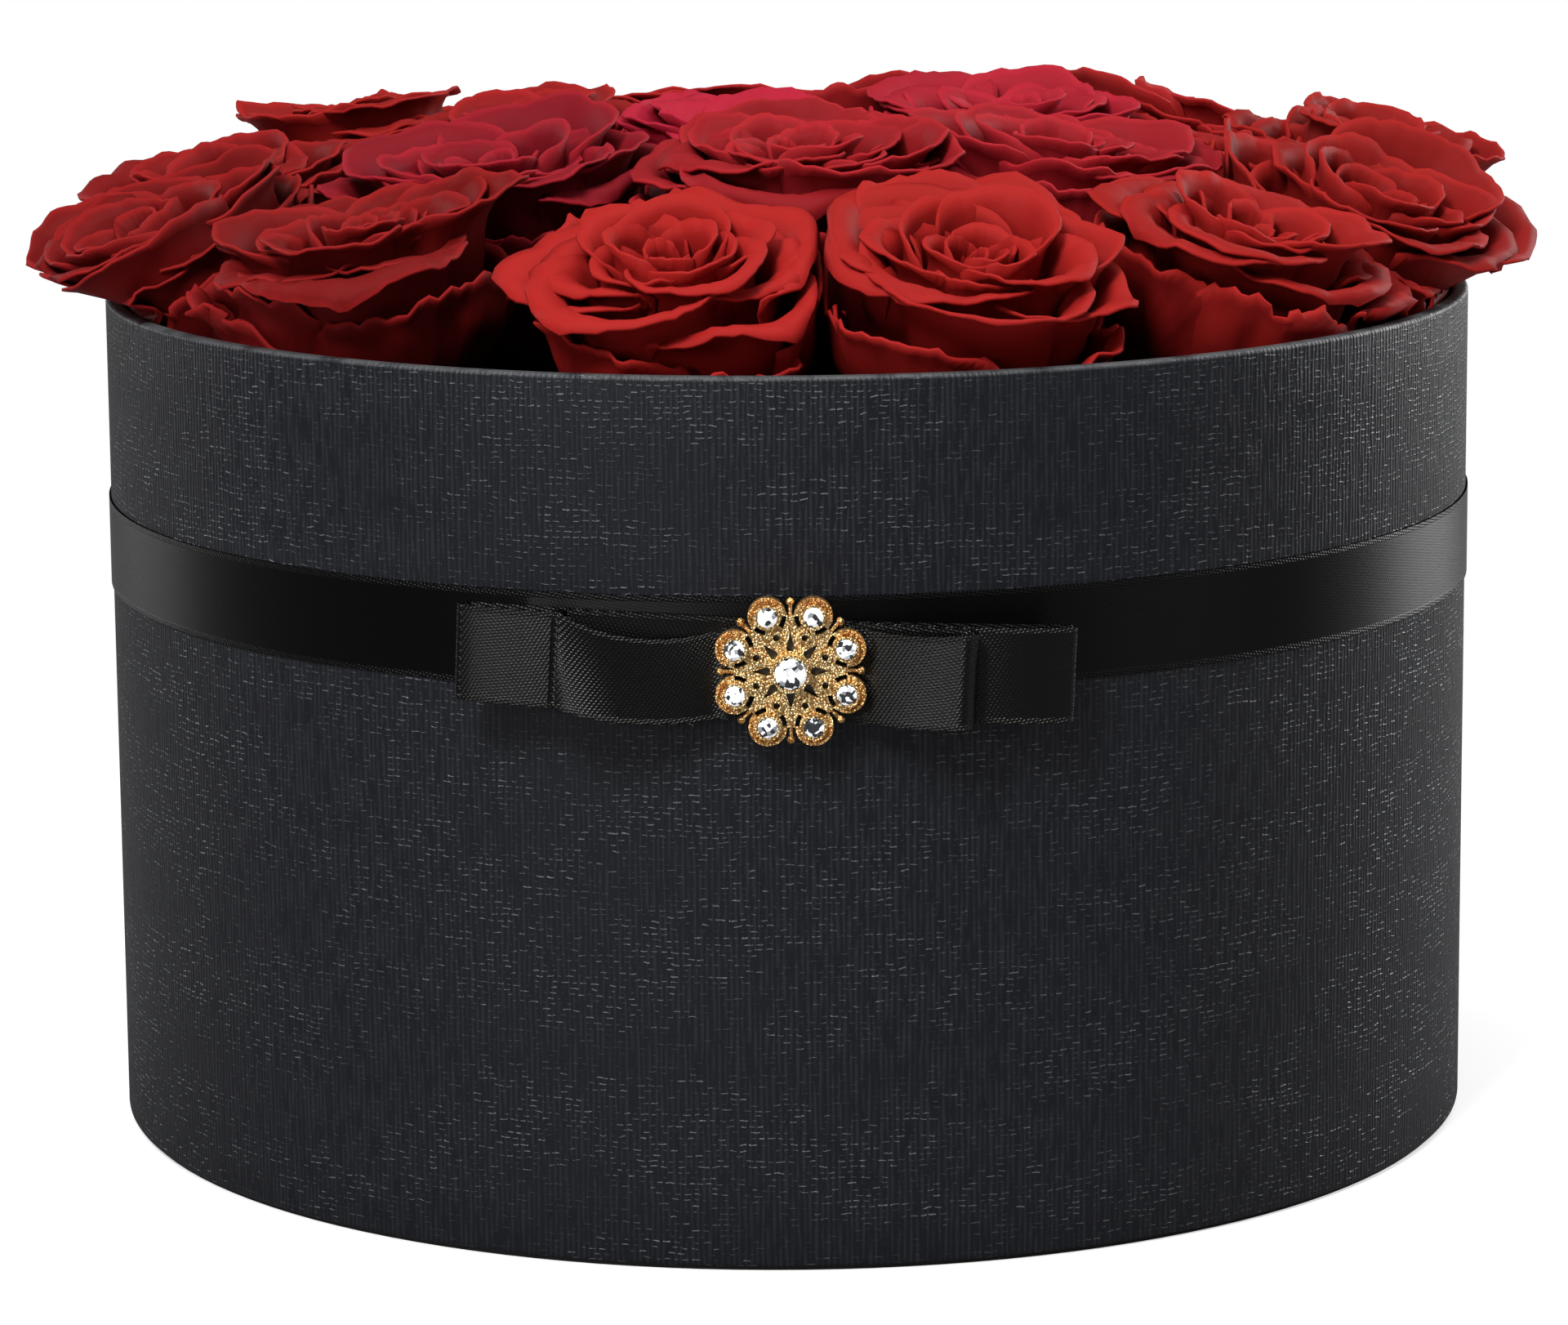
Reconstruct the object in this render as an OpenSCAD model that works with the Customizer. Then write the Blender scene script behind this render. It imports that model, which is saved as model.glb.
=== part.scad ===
// Round flower box: a paper-covered board box with a satin bow and brooch,
// filled with foam that carries nineteen preserved roses. Millimetres, +Z up,
// origin at the middle of the base, the bow faces -Y.

/* [Box] */
// Outside diameter of the box
box_d = 250; // [200:1:300]
// Height from the table to the rim
box_h = 152.5; // [125:0.5:185]
// Wall of the wound board tube
board_t = 2; // [1.5:0.1:3]
// Thickness of the embossed cover paper
paper_t = 0.35; // [0.2:0.05:0.5]
// Thickness of the lining and floor papers
lining_t = 0.25; // [0.15:0.05:0.4]
// Film of glue between papers and boards
glue_t = 0.05; // [0.02:0.01:0.1]
// Radius of the paper where it folds over the rim
rim_r = 0.9; // [0.8:0.05:1]
// Depth of the cover paper turned in below the rim
turn_in = 18; // [10:1:30]
// Width of the cover paper turned under the tube
turn_under = 12; // [6:1:20]
// Distance from the rim down to the edge of the lining
lining_drop = 6; // [3:1:9]
// Thickness of the base board
base_t = 2.5; // [1.5:0.1:4]
// Clearance of the base board in the tube
base_fit = 0.15; // [0.05:0.05:0.3]
// Thickness of the sheet glued under the base
sheet_t = 0.6; // [0.4:0.1:1]
// How far that sheet stays inside the cover
sheet_inset = 1.2; // [0.5:0.1:3]

/* [Ribbon] */
// Width of the satin ribbon
ribbon_w = 16; // [10:0.5:25]
// Thickness of the ribbon
ribbon_t = 0.35; // [0.2:0.05:0.5]
// Height of the middle of the band
band_z = 107.9; // [60:0.1:120]
// Length of the lap where the ends of the band meet
band_lap = 18; // [10:1:30]
// Distance round the box from the bow's middle to the outer end of the lap
lap_end = 62; // [50:1:80]

/* [Bow] */
// Height of the bow's middle
bow_z = 104.4; // [55:0.1:116]
// Reach of the back loop to the left, along the box
back_left = 54.5; // [40:0.5:70]
// Reach of the back loop to the right
back_right = 46; // [40:0.5:70]
// Reach of the front loop to the left
front_left = 36.5; // [25:0.5:55]
// Reach of the front loop to the right
front_right = 26.5; // [20:0.5:55]
// Open depth of the back loop at its ends
back_puff = 4; // [2:0.1:8]
// Open depth of the front loop at its ends
front_puff = 5; // [2:0.1:8]
// Open depth of both loops under the brooch
pinch = 0.2; // [0.1:0.05:0.6]
// Clearance between the layers of ribbon
layer_gap = 0.35; // [0.25:0.05:0.6]
// Droop of the back loop towards the right, in degrees
back_droop = 2.6; // [0:0.1:6]
// Droop of the front loop towards the right, in degrees
front_droop = 3.3; // [0:0.1:6]

/* [Brooch] */
// Diameter over the lobes
brooch_d = 26.4; // [20:0.1:32]
// Number of lobes, each with a side stone
lobes = 8; // [6:1:10]
// Radius of a lobe
lobe_r = 3.2; // [2.5:0.1:4]
// Thickness of the filigree plate
plate_t = 1.3; // [0.8:0.1:2]
// Diameter of a side stone
side_stone_d = 3.4; // [2:0.1:4]
// Diameter of the centre stone
centre_stone_d = 5.4; // [4:0.1:8]
// Clearance of a stone in its cup
stone_fit = 0.06; // [0.03:0.01:0.15]
// Wall of the cups that hold the stones
cup_wall = 0.4; // [0.3:0.05:0.7]
// Radius of the balls in the notches between the lobes
ball_r = 0.7; // [0.5:0.05:1]
// Thickness of the glue under the brooch
brooch_glue = 1; // [0.6:0.1:2]

/* [Flowers] */
// Depth of the foam's top below the rim
foam_drop = 44; // [38:1:60]
// Clearance of the foam in the lining
foam_fit = 0.6; // [0.3:0.1:2]
// Clearance under the foam
foam_lift = 0.3; // [0.2:0.1:1]
// Largest diameter of a bloom
bloom_d = 54; // [40:1:60]
// Height of a bloom from its base to its eye
bloom_h = 55; // [45:1:60]
// Thickness of a petal
petal_t = 1.2; // [0.8:0.1:1.6]
// Clearance between neighbouring blooms
bloom_gap = 1; // [0.6:0.1:3]
// Height of the outer blooms' eyes above the rim
outer_rise = 19; // [10:0.5:30]
// Height of the inner blooms' eyes above the rim
inner_rise = 29; // [15:0.5:40]
// Distance from the lining in to the bases of the outer blooms
outer_inset = 37.5; // [32:0.5:45]
// Radius of the inner ring as a share of the outer one
inner_share = 0.56; // [0.5:0.01:0.62]
// Diameter of a stem
stem_d = 5; // [3:0.5:6]
// Clearance of a stem in its hole
stem_fit = 0.1; // [0.05:0.05:0.3]
// Depth of a stem in the foam
stem_depth = 40; // [20:1:55]

/* [Hidden] */
$fn = 96;

// Radii of the layers of the wall, from the outside in
cover_r = box_d / 2;
tube_ro = cover_r - paper_t - glue_t;
tube_ri = tube_ro - board_t;
turn_ri = tube_ri - glue_t - paper_t;
lining_low_ro = tube_ri - glue_t;
lining_top_ro = turn_ri - glue_t;
clear_r = lining_top_ro - lining_t;
// Heights of the layers of the base, from the table up
cover_z = sheet_t + glue_t;
tube_z = cover_z + paper_t + glue_t;
board_z = tube_z + base_t;
floor_z = board_z + glue_t + lining_t;
// Height over which the lining steps onto the turn-in
step_h = 1;

function arc(c, r, a0, a1, n = 5) =
  [for (i = [0:n]) let (a = a0 + (a1 - a0) * i / n) c + r * [cos(a), sin(a)]];

module base_sheet() color("#141416")
  cylinder(r = cover_r - sheet_inset, h = sheet_t);

module base_board() color("#8a8378")
  translate([0, 0, tube_z]) cylinder(r = tube_ri - base_fit, h = base_t);

module box_tube() color("#9a9388") {
  r = rim_r - paper_t - glue_t;
  top = box_h - paper_t - glue_t - r;
  rotate_extrude() polygon(concat(
    [[tube_ri, tube_z], [tube_ro, tube_z]],
    arc([tube_ro - r, top], r, 0, 90),
    arc([tube_ri + r, top], r, 90, 180)));
}

// One sheet of paper: up the outside, over the rim and down inside,
// and folded in under the tube.
module cover_paper() color("#2c2d32") {
  r = rim_r - paper_t;
  top = box_h - rim_r;
  low = cover_z + rim_r;
  rotate_extrude() polygon(concat(
    [[cover_r - turn_under, cover_z]],
    arc([cover_r - rim_r, low], rim_r, -90, 0),
    arc([cover_r - rim_r, top], rim_r, 0, 90),
    arc([turn_ri + rim_r, top], rim_r, 90, 180),
    [[turn_ri, box_h - turn_in], [turn_ri + paper_t, box_h - turn_in]],
    arc([turn_ri + rim_r, top], r, 180, 90),
    arc([cover_r - rim_r, top], r, 90, 0),
    [[cover_r - paper_t, cover_z + paper_t], [cover_r - turn_under, cover_z + paper_t]]));
}

module lining_paper() color("#1b1b1d") {
  step_z = box_h - turn_in - step_h;
  rotate_extrude() polygon([
    [lining_low_ro - lining_t, board_z + glue_t], [lining_low_ro, board_z + glue_t],
    [lining_low_ro, step_z], [lining_top_ro, step_z + step_h * 0.8],
    [lining_top_ro, box_h - lining_drop], [clear_r, box_h - lining_drop],
    [clear_r, step_z + step_h * 0.4], [lining_low_ro - lining_t, step_z - step_h * 0.4]]);
}

module floor_paper() color("#1b1b1d")
  translate([0, 0, board_z + glue_t])
    cylinder(r = lining_low_ro - lining_t - base_fit, h = lining_t);

// Ribbon: the band lies on the cover, the loops of the bow lie on the band.
band_ri = cover_r + glue_t;
band_ro = band_ri + ribbon_t;
lap_ro = band_ro + glue_t + ribbon_t;
bow_ri = lap_ro + layer_gap;
function round_angle(s) = s / cover_r * 180 / PI;

module band_arc(ri, ro, s0, s1)
  rotate([0, 0, round_angle(s0) - 90]) rotate_extrude(angle = round_angle(s1 - s0))
    translate([ri, band_z - ribbon_w / 2]) square([ro - ri, ribbon_w]);

module ribbon_band() color("#18181a") {
  translate([0, 0, band_z - ribbon_w / 2]) difference() {
    cylinder(r = band_ro, h = ribbon_w);
    translate([0, 0, -1]) cylinder(r = band_ri, h = ribbon_w + 2);
  }
  band_arc(band_ro - 0.1, lap_ro, -lap_end, band_lap - lap_end);
}

// Radial place of each loop's inner layer and open depth, at s along the box.
// Under the brooch, out to hold, the layers are pressed together.
hold = brooch_d * 0.46;
function puff(s, reach, depth) =
  ribbon_t + pinch + (depth - pinch) * sin(90 * max(0, min(1, (abs(s) - hold) / (reach - hold))));
function back_depth(s) = puff(s, s < 0 ? back_left : back_right, back_puff);
function front_depth(s) = puff(s, s < 0 ? front_left : front_right, front_puff);
function back_in(s) = bow_ri + ribbon_t / 2;
function front_in(s) = back_in(s) + back_depth(s) + ribbon_t + layer_gap;

// Closed outline of a loop, e outside the middle of its ribbon
module loop_outline(left, right, front, e, n = 14) {
  inner = [for (i = [0:n]) let (s = -left + (left + right) * i / n)
    [s, (front ? front_in(s) : back_in(s)) - e]];
  outer = [for (i = [n:-1:0]) let (s = -left + (left + right) * i / n)
    [s, (front ? front_in(s) + front_depth(s) : back_in(s) + back_depth(s)) + e]];
  h_r = (front ? front_depth(right) : back_depth(right)) / 2;
  h_l = (front ? front_depth(-left) : back_depth(-left)) / 2;
  c_r = [right, (front ? front_in(right) : back_in(right)) + h_r];
  c_l = [-left, (front ? front_in(-left) : back_in(-left)) + h_l];
  pts = concat(inner, arc(c_r, h_r + e, -60, 60, 6), outer, arc(c_l, h_l + e, 120, 240, 6));
  polygon([for (p = pts) p[1] * [sin(round_angle(p[0])), -cos(round_angle(p[0]))]]);
}

module bow_loop(left, right, front, droop)
  translate([0, 0, bow_z]) rotate([0, droop, 0]) translate([0, 0, -ribbon_w / 2])
    linear_extrude(ribbon_w) difference() {
      loop_outline(left, right, front, ribbon_t / 2);
      loop_outline(left, right, front, -ribbon_t / 2);
    }

module bow_back_loop() color("#222222") bow_loop(back_left, back_right, false, back_droop);
module bow_front_loop() color("#262624") bow_loop(front_left, front_right, true, front_droop);

// Brooch: drawn flat with its back at z = 0, then stood up on the bow.
brooch_back = front_in(0) + front_depth(0) + ribbon_t / 2 + brooch_glue;
lobe_ring = brooch_d / 2 - lobe_r;
lobe_step = 360 / lobes;
cup_h = 1.4;
centre_cup_h = 2.6;
girdle_share = 0.42;
edge_w = 0.5;
edge_h = 0.5;
window_w = 0.8;
window_gap = 0.25;

// The raised rings on the lobes' axes and the slots between the lobes
ring_at = lobe_ring * 0.615;
ring_ro = 1.1;
ring_ri = 0.55;
slot_end = lobe_ring * 0.65;
slot_half = 0.75;
// Beads along the outer edge of each lobe
bead_r = 0.2;
bead_h = 0.25;
bead_pitch = 0.62;
bead_arc = 160;

module on_bow() translate([0, -brooch_back, bow_z]) rotate([90, 0, 0]) children();
module round_lobes() for (k = [0:lobes - 1]) rotate([0, 0, lobe_step * (k + 0.5)])
  translate([lobe_ring, 0, 0]) children();
module round_notches() for (k = [0:lobes - 1]) rotate([0, 0, lobe_step * k]) children();

module brooch_glue_pad() color("#cfc8b8")
  translate([0, -brooch_back, bow_z]) rotate([-90, 0, 0])
    translate([0, 0, glue_t]) cylinder(r = ribbon_w * 0.42, h = brooch_glue - 2 * glue_t);

// Sector of a ring, centred on +X
module ring_part(ri, ro, half_angle) intersection() {
  difference() {
    circle(r = ro, $fn = 48);
    circle(r = ri, $fn = 48);
  }
  polygon([[0, 0], [2 * ro, -2 * ro * tan(half_angle)], [2 * ro, 2 * ro * tan(half_angle)]]);
}

// Two curved windows and a round one inside each lobe
module windows() round_lobes() {
  window_r = side_stone_d / 2 + stone_fit + cup_wall + window_gap;
  for (side = [-1, 1]) rotate(180 + side * 48) ring_part(window_r, window_r + window_w, 20);
  translate([ring_at - lobe_ring, 0]) circle(r = ring_ri, $fn = 24);
}

// Pointed slots between the lobes that form a star round the centre stone
module star() {
  r0 = centre_stone_d / 2 + stone_fit + cup_wall + window_gap;
  round_notches() polygon([[r0, -slot_half * 0.6], [r0 + 0.5, -slot_half], [slot_end, 0],
    [r0 + 0.5, slot_half], [r0, slot_half * 0.6]]);
}

module plate_outline() {
  circle(r = lobe_ring - 0.6);
  round_lobes() circle(r = lobe_r, $fn = 48);
}

module beads() {
  r = lobe_r - edge_w / 2;
  count = floor(bead_arc / 360 * 2 * PI * r / bead_pitch);
  for (i = [0:count]) rotate(bead_arc * (i / count - 0.5)) translate([r, 0]) circle(r = bead_r, $fn = 12);
}

module cup_wall_outline(d) difference() {
  circle(r = d / 2 + stone_fit + cup_wall, $fn = 48);
  circle(r = d / 2 + stone_fit, $fn = 48);
}

// Plate with its windows, a raised edge round each lobe, the cups that hold
// the stones, and balls on short stalks in the notches
module brooch_setting() color("#c9a04e") on_bow() {
  linear_extrude(plate_t) difference() {
    plate_outline();
    windows();
    star();
  }
  translate([0, 0, plate_t]) linear_extrude(edge_h) {
    round_lobes() ring_part(lobe_r - edge_w, lobe_r, 85);
    round_lobes() translate([ring_at - lobe_ring, 0]) difference() {
      circle(r = ring_ro, $fn = 24);
      circle(r = ring_ri, $fn = 24);
    }
  }
  translate([0, 0, plate_t + edge_h]) linear_extrude(bead_h) round_lobes() beads();
  translate([0, 0, plate_t]) linear_extrude(cup_h) round_lobes() cup_wall_outline(side_stone_d);
  translate([0, 0, plate_t]) linear_extrude(centre_cup_h) cup_wall_outline(centre_stone_d);
  round_notches() {
    translate([lobe_ring - 1.2, 0, plate_t / 2]) rotate([0, 90, 0]) cylinder(r = 0.35, h = 2.4, $fn = 24);
    translate([lobe_ring + 1.6, 0, plate_t / 2]) sphere(r = ball_r, $fn = 24);
  }
}

// A cut stone: flat table, sloped crown and pointed back
module stone(d) rotate_extrude($fn = 48)
  polygon([[0, -d * girdle_share], [d / 2, 0], [d / 2, d * 0.04], [d * 0.3, d * 0.17], [0, d * 0.17]]);

module brooch_centre_stone() color("#f4f6fa") on_bow()
  translate([0, 0, plate_t + stone_fit + centre_stone_d * girdle_share]) stone(centre_stone_d);

module brooch_side_stones() color("#f4f6fa") on_bow() round_lobes()
  translate([0, 0, plate_t + stone_fit + side_stone_d * girdle_share]) stone(side_stone_d);

// Flowers. Each row: azimuth from the front towards +X, shift of the base from
// its ring, shift of the eye's height, lean away from the middle of the box.
outer_rows = [[-80, 1, -2, 18], [-51, 5, 1, 12], [-12, -8, 1, 20], [21, -6, 1, 20],
  [54, 0, 0, 18], [80, 1, -2, 18], [109, 1, 0, 18], [137, 1, 2, 18], [166, 2, 4, 18],
  [194, 2, 4, 18], [223, 1, 3, 18], [252, 1, -1, 18]];
inner_rows = [[-65, 1, -2, 8], [0, -9, 0, 8], [60, -1, 0, 8], [122, 1, 3, 8],
  [180, 5, 0, 8], [238, 3, -1, 8]];
centre_row = [180, 8, 2, 0];
outer_ring = clear_r - outer_inset;
inner_ring = outer_ring * inner_share;
foam_z = floor_z + foam_lift;
foam_top = box_h - foam_drop;
// Height of a receptacle, depth of its socket, radial pitch of the whorls
receptacle_h = 12;
socket_h = 7;
petal_pitch = 2;
// Share of the circle that the petals of a whorl cover, turn from bloom to bloom
petal_cover = 0.92;
bloom_turn = 47;
// Direction of the very end of a rolled lip: 90 would be flat outwards
lip_end = 65;

function place(row, ring, rise) = concat([row[0], ring + row[1]], [box_h + rise + row[2], row[3]]);
blooms = concat([for (r = outer_rows) place(r, outer_ring, outer_rise)],
  [for (r = inner_rows) place(r, inner_ring, inner_rise)],
  [place(centre_row, 0, inner_rise)]);
// Eye of bloom i seen from above, and the radius that its neighbours leave it
function eye(b) = (b[1] + bloom_h * sin(b[3])) * [sin(b[0]), -cos(b[0])];
function room(i) = min(concat([bloom_d / 2],
  [for (j = [0:len(blooms) - 1]) if (j != i) (norm(eye(blooms[i]) - eye(blooms[j])) - bloom_gap) / 2]));

// Puts its children on the axis of bloom i, with z = 0 at the base of the bloom
module on_axis(i) {
  b = blooms[i];
  rotate([0, 0, b[0]]) translate([0, -b[1], b[2] - bloom_h * cos(b[3])]) rotate([b[3], 0, 0]) children();
}
function stem_above(i) = (blooms[i][2] - foam_top) / cos(blooms[i][3]) - bloom_h;

module stem(i, d, depth, top)
  on_axis(i) translate([0, 0, -stem_above(i) - depth]) cylinder(d = d, h = depth + stem_above(i) + top, $fn = 32);

module foam_block() color("#3f4a35") difference() {
  translate([0, 0, foam_z]) cylinder(r = clear_r - foam_fit, h = foam_top - foam_z);
  for (i = [0:len(blooms) - 1]) stem(i, stem_d + 2 * stem_fit, stem_depth + stem_fit, 10);
}

module rose_stems() color("#5d6b3a")
  for (i = [0:len(blooms) - 1]) stem(i, stem_d, stem_depth, socket_h - stem_fit);

// A petal in the (r, z) plane: up out of the receptacle at rb, bellying to rm,
// its lip rolled back over an arc of radius q to end at rl. It runs through the
// angle a round the bloom.
function petal_line(rb, rm, rl, zl, q, n) = let (rs = rl - q * (1 + cos(lip_end)), zs = zl - q) concat(
  [for (i = [0:n]) let (t = i / n, u = 1 - t) [
    u * u * u * rb + 3 * u * u * t * (rb + rm) / 2 + 3 * u * t * t * rm + t * t * t * rs,
    u * u * u * (receptacle_h - 2) + 3 * u * u * t * (receptacle_h + 12)
      + 3 * u * t * t * (zs - 9) + t * t * t * zs]],
  [for (i = [1:3]) let (a = 180 - (180 - lip_end) * i / 3) [rs + q + q * cos(a), zs + q * sin(a)]]);
function across(p, i) = let (v = p[min(i + 1, len(p) - 1)] - p[max(i - 1, 0)]) [v[1], -v[0]] / norm(v);
module petal(rb, rm, rl, zl, q, a, n = 4) {
  p = petal_line(rb, rm, rl, zl, q, n);
  last = len(p) - 1;
  rotate([0, 0, -a / 2]) rotate_extrude(angle = a, $fn = 48)
    polygon(concat([for (i = [0:last]) p[i] + across(p, i) * petal_t / 2],
      [for (i = [last:-1:0]) p[i] - across(p, i) * petal_t / 2]));
}
module petals(count, turn, rb, rm, rl, zl, q)
  for (k = [0:count - 1]) rotate([0, 0, 360 / count * k + turn])
    petal(rb, rm, rl, zl, q, 360 / count * petal_cover);

// Receptacle with its socket for the stem, four whorls of petals and the bud
module bloom(r) {
  socket_r = stem_d / 2 + stem_fit;
  base_r = 4 * petal_pitch + petal_t;
  rotate_extrude($fn = 48) polygon([[socket_r, 0], [socket_r + 1.2, 0], [base_r, receptacle_h * 0.4],
    [base_r, receptacle_h], [0, receptacle_h], [0, socket_h], [socket_r, socket_h]]);
  petals(5, 0, 4 * petal_pitch, r * 0.72, r - petal_t, bloom_h - 7, r * 0.11);
  petals(5, 36, 3 * petal_pitch, r * 0.62, r * 0.82, bloom_h - 3, r * 0.085);
  petals(4, 15, 2 * petal_pitch, r * 0.5, r * 0.64, bloom_h - 1, r * 0.07);
  petals(3, 40, petal_pitch, r * 0.35, r * 0.46, bloom_h, r * 0.055);
  rotate_extrude($fn = 48) polygon([[0, receptacle_h - 1], [1, receptacle_h - 1], [r * 0.2, bloom_h * 0.6],
    [r * 0.22, bloom_h - 5], [r * 0.14, bloom_h - 1], [r * 0.07, bloom_h - 4], [0, bloom_h - 5]]);
}

module rose(i) color("#9c201f") on_axis(i) rotate([0, 0, bloom_turn * i]) bloom(room(i));

module outer_rose_1() rose(0);
module outer_rose_2() rose(1);
module outer_rose_3() rose(2);
module outer_rose_4() rose(3);
module outer_rose_5() rose(4);
module outer_rose_6() rose(5);
module outer_rose_7() rose(6);
module outer_rose_8() rose(7);
module outer_rose_9() rose(8);
module outer_rose_10() rose(9);
module outer_rose_11() rose(10);
module outer_rose_12() rose(11);
module inner_rose_1() rose(12);
module inner_rose_2() rose(13);
module inner_rose_3() rose(14);
module inner_rose_4() rose(15);
module inner_rose_5() rose(16);
module inner_rose_6() rose(17);
module centre_rose() rose(18);

base_sheet();
base_board();
box_tube();
cover_paper();
lining_paper();
floor_paper();
ribbon_band();
bow_back_loop();
bow_front_loop();
brooch_glue_pad();
brooch_setting();
brooch_centre_stone();
brooch_side_stones();
foam_block();
rose_stems();
outer_rose_1();
outer_rose_2();
outer_rose_3();
outer_rose_4();
outer_rose_5();
outer_rose_6();
outer_rose_7();
outer_rose_8();
outer_rose_9();
outer_rose_10();
outer_rose_11();
outer_rose_12();
inner_rose_1();
inner_rose_2();
inner_rose_3();
inner_rose_4();
inner_rose_5();
inner_rose_6();
centre_rose();
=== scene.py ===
import math

import bmesh
import bpy
import numpy as np
from mathutils import Matrix, Vector


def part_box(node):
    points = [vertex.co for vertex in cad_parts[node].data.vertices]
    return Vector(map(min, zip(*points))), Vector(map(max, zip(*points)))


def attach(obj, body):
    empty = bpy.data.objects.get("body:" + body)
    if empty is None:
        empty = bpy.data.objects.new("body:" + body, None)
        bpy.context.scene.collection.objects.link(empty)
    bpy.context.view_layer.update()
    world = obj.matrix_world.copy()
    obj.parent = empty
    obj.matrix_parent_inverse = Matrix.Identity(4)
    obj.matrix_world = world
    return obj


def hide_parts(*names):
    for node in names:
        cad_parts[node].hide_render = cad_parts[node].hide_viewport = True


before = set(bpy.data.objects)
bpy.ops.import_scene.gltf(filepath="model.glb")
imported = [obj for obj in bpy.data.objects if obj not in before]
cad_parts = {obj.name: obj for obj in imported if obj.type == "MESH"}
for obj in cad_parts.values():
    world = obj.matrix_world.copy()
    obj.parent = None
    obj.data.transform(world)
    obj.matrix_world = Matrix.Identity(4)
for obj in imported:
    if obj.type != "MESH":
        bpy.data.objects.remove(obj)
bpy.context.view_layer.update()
MM = 0.001

# ---------------------------------------------------------------------------
# Board tube and base board.
# Grey millboard wound into a tube, with a disc of the same board glued in at
# the foot. Both are hidden under the papers.


def node(tree, kind, **values):
    """A new node; a value is given by its input's name with _ for a space, or by attribute."""
    made = tree.nodes.new(kind)
    for name, value in values.items():
        if hasattr(made, name):
            setattr(made, name, value)
        else:
            made.inputs[name.replace("_", " ")].default_value = value
    return made


def finish_of(name, **values):
    """A material with a Principled shader, and its tree, shader and linker."""
    mat = bpy.data.materials.new(name)
    mat.use_nodes = True
    tree = mat.node_tree
    shader = tree.nodes["Principled BSDF"]
    for key, value in values.items():
        shader.inputs[key.replace("_", " ")].default_value = value
    return mat, tree, shader, tree.links.new


def wear(piece, mat):
    """Puts one finish on a piece, in every slot that it has."""
    if not piece.data.materials:
        piece.data.materials.append(mat)
    for k in range(len(piece.material_slots)):
        piece.material_slots[k].material = mat


class Term:
    """A socket that can be added, multiplied and so on, so that a rule reads as arithmetic."""

    def __init__(self, tree, socket):
        self.tree, self.socket = tree, socket

    def op(self, kind, *others):
        made = node(self.tree, "ShaderNodeMath", operation=kind)
        for k, term in enumerate((self, *others)):
            feed(self.tree, made.inputs[k], term)
        return Term(self.tree, made.outputs[0])

    def __add__(self, other):
        return self.op("ADD", other)

    def __sub__(self, other):
        return self.op("SUBTRACT", other)

    def __mul__(self, other):
        return self.op("MULTIPLY", other)

    def __truediv__(self, other):
        return self.op("DIVIDE", other)

    def __pow__(self, other):
        return self.op("POWER", other)

    def __rsub__(self, other):
        return (self * -1.0) + other

    __radd__ = __add__
    __rmul__ = __mul__

    def span(self, low, high):
        """0 up to low, 1 from high, smooth between."""
        made = node(self.tree, "ShaderNodeMapRange", interpolation_type="SMOOTHSTEP")
        feed(self.tree, made.inputs["Value"], self)
        feed(self.tree, made.inputs["From Min"], low)
        feed(self.tree, made.inputs["From Max"], high)
        return Term(self.tree, made.outputs["Result"])


def feed(tree, slot, term):
    """Gives an input a Term, a socket or a plain value."""
    if isinstance(term, Term):
        tree.links.new(term.socket, slot)
    elif hasattr(term, "is_linked"):
        tree.links.new(term, slot)
    else:
        slot.default_value = term


def vector(tree, x, y=0.0, z=0.0):
    made = node(tree, "ShaderNodeCombineXYZ")
    for slot, term in zip(made.inputs, (x, y, z)):
        feed(tree, slot, term)
    return made.outputs[0]


def noise(tree, place, scale=1.0, detail=2.0):
    """Noise from 0 to 1, mostly near 0.5."""
    made = node(tree, "ShaderNodeTexNoise", Scale=scale, Detail=detail)
    feed(tree, made.inputs["Vector"], place)
    return Term(tree, made.outputs["Fac"])


def blend(tree, amount, a, b):
    """A colour between a and b."""
    made = node(tree, "ShaderNodeMix", data_type="RGBA")
    feed(tree, made.inputs[0], amount)
    feed(tree, made.inputs[6], (*a, 1) if isinstance(a, tuple) else a)
    feed(tree, made.inputs[7], (*b, 1) if isinstance(b, tuple) else b)
    return made.outputs[2]


def bump(tree, shader, height, depth, strength=1.0):
    """Relief of that depth in metres on a finish."""
    made = node(tree, "ShaderNodeBump", Strength=strength, Distance=depth)
    feed(tree, made.inputs["Height"], height)
    tree.links.new(made.outputs["Normal"], shader.inputs["Normal"])


def object_space(tree):
    return node(tree, "ShaderNodeTexCoord").outputs["Object"]


def board_finish():
    mat, tree, shader, _ = finish_of("greyboard", Roughness=0.9)
    fibre = noise(tree, object_space(tree), 900.0, 4.0)
    feed(tree, shader.inputs["Base Color"], blend(tree, fibre, (0.22, 0.19, 0.16), (0.38, 0.34, 0.29)))
    bump(tree, shader, fibre, 0.0002, 0.3)
    return mat


greyboard = board_finish()
for name in ("box_tube", "base_board"):
    wear(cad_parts[name], greyboard)

# ---------------------------------------------------------------------------
# Cover paper.
# Black paper embossed like linen, wrapped round the tube, turned in over the
# rim and folded under the foot. Its raised threads catch the light, and their tops carry a painted glint.

low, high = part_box("cover_paper")
BOX_R = high.x / MM
BOX_H = high.z / MM
COVER_FOOT = low.z / MM
PAPER_T = 0.35
WALL_T = 2.8        # board with the papers on both sides, at the rim
TURN_IN = 18.0
TURN_UNDER = 12.0
RIM_R = 0.9
AROUND = 360        # facets round the box


def arc_points(centre, radius, start, end, count):
    turns = [math.radians(start + (end - start) * k / count) for k in range(count + 1)]
    return [(centre[0] + radius * math.cos(a), centre[1] + radius * math.sin(a)) for a in turns]


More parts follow.
